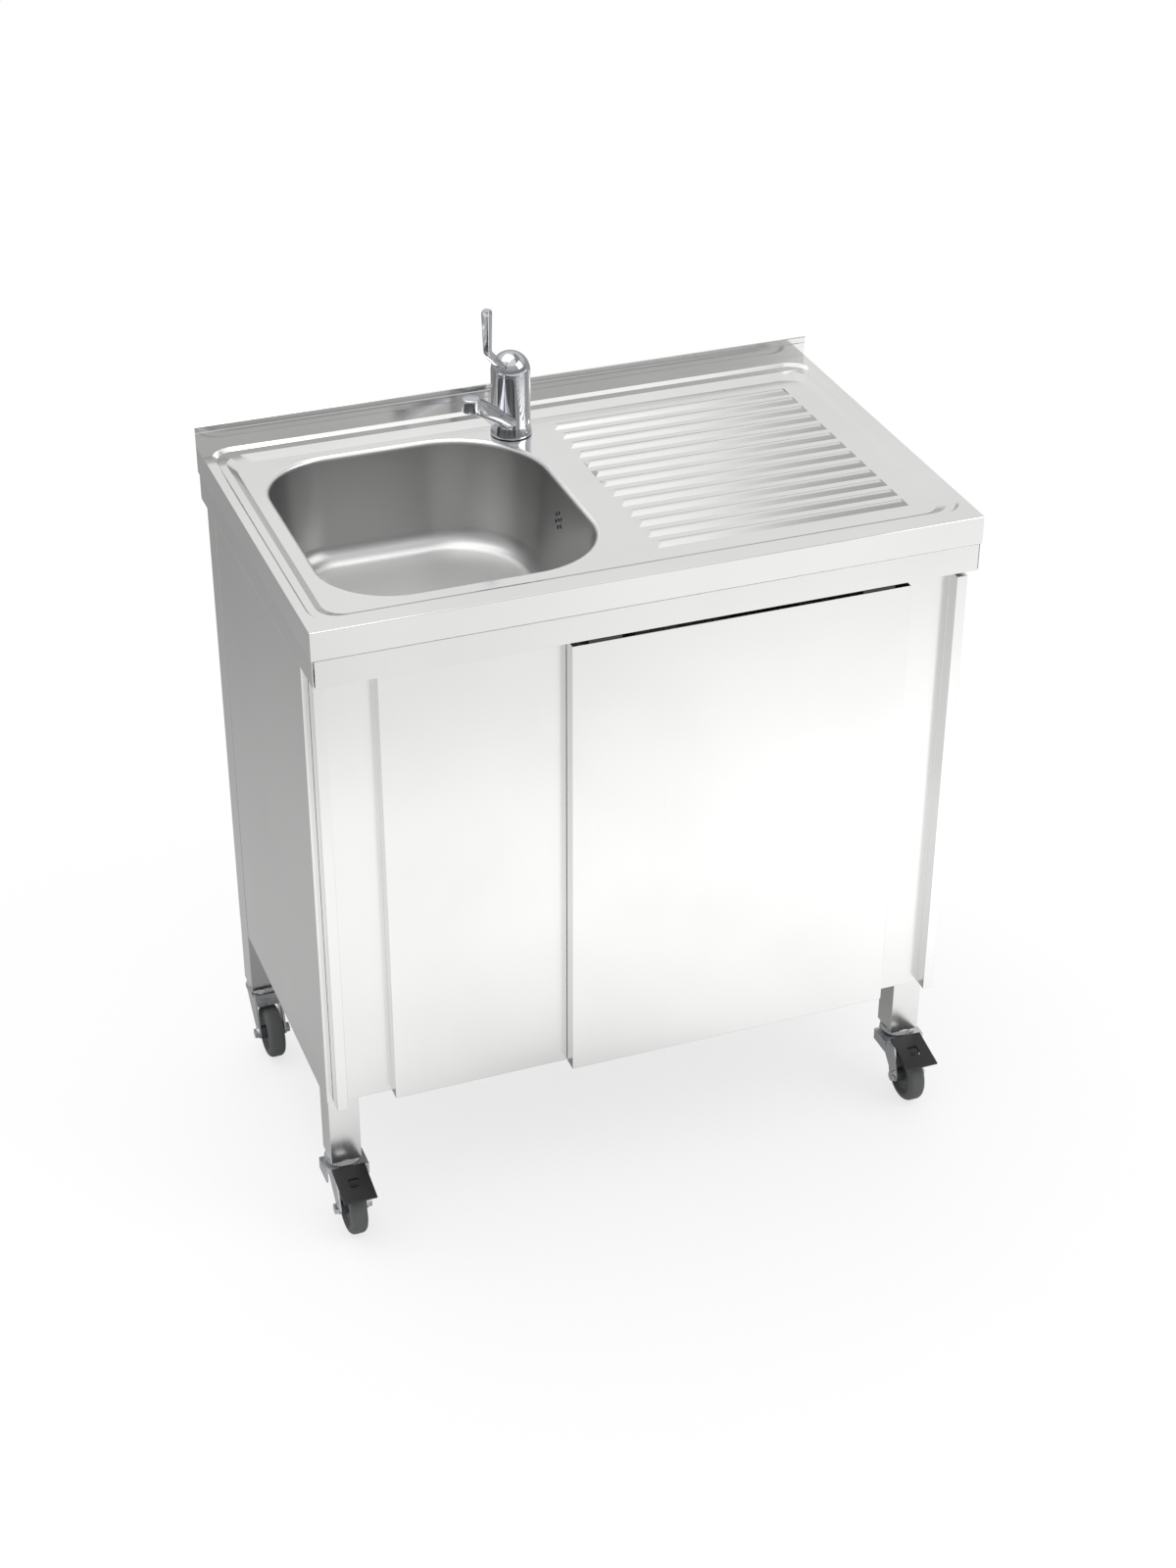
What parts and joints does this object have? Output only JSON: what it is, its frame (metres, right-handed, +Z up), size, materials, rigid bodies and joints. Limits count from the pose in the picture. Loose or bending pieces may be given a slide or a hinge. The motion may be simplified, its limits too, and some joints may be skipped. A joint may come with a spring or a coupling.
{
  "type": "portable hand wash sink cabinet",
  "caption": "Stainless clinic sink on castors: worktop with a bowl and ribbed drainer, lever mixer tap, cabinet with sliding doors and water tanks.",
  "frame": {"origin": "on the floor, at the middle of the footprint", "axes": "+Z up, +X to the right as seen from the doors' side, +Y from the doors to the upstand at the back"},
  "size_m": [0.8126, 0.505, 1.0335],
  "materials": {
    "top_steel": "satin rolled stainless",
    "bowl_steel": "satin pressed stainless",
    "cabinet_steel": "brushed stainless sheet",
    "tap_chrome": "polished chrome plate",
    "zinc_steel": "bright zinc plated steel",
    "tyre": "smooth grey rubber",
    "hub": "moulded polypropylene",
    "pedal": "moulded black nylon",
    "seal": "black rubber",
    "pipework": "moulded white polypropylene",
    "tank": "blow moulded natural polyethylene",
    "cap": "moulded black plastic",
    "pump_black": "moulded black plastic",
    "nylon": "moulded nylon"
  },
  "bodies": {
    "frame": {"worktop": "top_steel", "bowl": "bowl_steel", "fascia_frame": "cabinet_steel", "drainer_stiffener": "cabinet_steel", "leg_front_left": "cabinet_steel", "leg_front_right": "cabinet_steel", "leg_rear_left": "cabinet_steel", "leg_rear_right": "cabinet_steel", "side_panel_left": "cabinet_steel", "side_panel_right": "cabinet_steel", "rear_panel": "cabinet_steel", "bottom_shelf": "cabinet_steel", "door_track": "cabinet_steel", "door_guide": "nylon", "tap_body": "tap_chrome", "tap_cartridge": "pipework", "tap_aerator": "tap_chrome", "tap_gasket": "seal", "tap_nut": "zinc_steel", "strainer": "bowl_steel", "waste_body": "pipework", "waste_nut": "pipework", "drain_pipe": "pipework", "overflow_housing": "pipework", "overflow_pipe": "pipework", "waste_tank": "tank", "fresh_tank": "tank", "tank_caps": "cap", "pump": "pump_black", "supply_pipe": "pump_black", "castor_stems": "zinc_steel"},
    "left_door": {"left_door_panel": "cabinet_steel", "left_door_back": "cabinet_steel", "left_door_glides": "nylon"},
    "right_door": {"right_door_panel": "cabinet_steel", "right_door_back": "cabinet_steel", "right_door_glides": "nylon"},
    "dome": {"tap_dome": "tap_chrome", "lever_pin": "zinc_steel"},
    "lever": {"tap_lever": "tap_chrome"},
    "castor_front_left": {"fork_front_left": "zinc_steel", "axle_front_left": "zinc_steel"},
    "wheel_front_left": {"hub_front_left": "hub", "tyre_front_left": "tyre"},
    "castor_front_right": {"fork_front_right": "zinc_steel", "axle_front_right": "zinc_steel"},
    "wheel_front_right": {"hub_front_right": "hub", "tyre_front_right": "tyre"},
    "castor_rear_left": {"fork_rear_left": "zinc_steel", "axle_rear_left": "zinc_steel"},
    "wheel_rear_left": {"hub_rear_left": "hub", "tyre_rear_left": "tyre"},
    "castor_rear_right": {"fork_rear_right": "zinc_steel", "axle_rear_right": "zinc_steel"},
    "wheel_rear_right": {"hub_rear_right": "hub", "tyre_rear_right": "tyre"},
    "brake_left": {"pedal_left": "pedal"},
    "brake_right": {"pedal_right": "pedal"}
  },
  "joints": [
    {"name": "left_door_slide", "type": "slide", "parent": "frame", "child": "left_door", "axis": [1, 0, 0], "range_m": [0, 0.291]},
    {"name": "right_door_slide", "type": "slide", "parent": "frame", "child": "right_door", "axis": [-1, 0, 0], "range_m": [0, 0.291]},
    {"name": "dome_turn", "type": "hinge", "parent": "frame", "child": "dome", "pos_m": [-0.028, 0.1685, 0.9365], "axis": [0, 0, 1], "range_deg": [-45, 45]},
    {"name": "lever_lift", "type": "hinge", "parent": "dome", "child": "lever", "pos_m": [-0.028, 0.1685, 0.946], "axis": [-0.6561, 0.7547, 0], "range_deg": [0, 22]},
    {"name": "castor_front_left_swivel", "type": "hinge", "parent": "frame", "child": "castor_front_left", "pos_m": [-0.3788, -0.1745, 0.085], "axis": [0, 0, 1], "continuous": true},
    {"name": "wheel_front_left_spin", "type": "hinge", "parent": "castor_front_left", "child": "wheel_front_left", "pos_m": [-0.3788, -0.2105, 0.036], "axis": [1, 0, 0], "continuous": true},
    {"name": "castor_front_right_swivel", "type": "hinge", "parent": "frame", "child": "castor_front_right", "pos_m": [0.3788, -0.1745, 0.085], "axis": [0, 0, 1], "continuous": true},
    {"name": "wheel_front_right_spin", "type": "hinge", "parent": "castor_front_right", "child": "wheel_front_right", "pos_m": [0.3788, -0.2105, 0.036], "axis": [1, 0, 0], "continuous": true},
    {"name": "castor_rear_left_swivel", "type": "hinge", "parent": "frame", "child": "castor_rear_left", "pos_m": [-0.3788, 0.2065, 0.085], "axis": [0, 0, 1], "continuous": true},
    {"name": "wheel_rear_left_spin", "type": "hinge", "parent": "castor_rear_left", "child": "wheel_rear_left", "pos_m": [-0.3788, 0.1705, 0.036], "axis": [1, 0, 0], "continuous": true},
    {"name": "castor_rear_right_swivel", "type": "hinge", "parent": "frame", "child": "castor_rear_right", "pos_m": [0.3788, 0.2065, 0.085], "axis": [0, 0, 1], "continuous": true},
    {"name": "wheel_rear_right_spin", "type": "hinge", "parent": "castor_rear_right", "child": "wheel_rear_right", "pos_m": [0.3788, 0.1705, 0.036], "axis": [1, 0, 0], "continuous": true},
    {"name": "brake_left_press", "type": "hinge", "parent": "castor_front_left", "child": "brake_left", "pos_m": [-0.3788, -0.2015, 0.0805], "axis": [1, 0, 0], "range_deg": [0, 4]},
    {"name": "brake_right_press", "type": "hinge", "parent": "castor_front_right", "child": "brake_right", "pos_m": [0.3788, -0.2015, 0.0805], "axis": [1, 0, 0], "range_deg": [0, 4]}
  ]
}
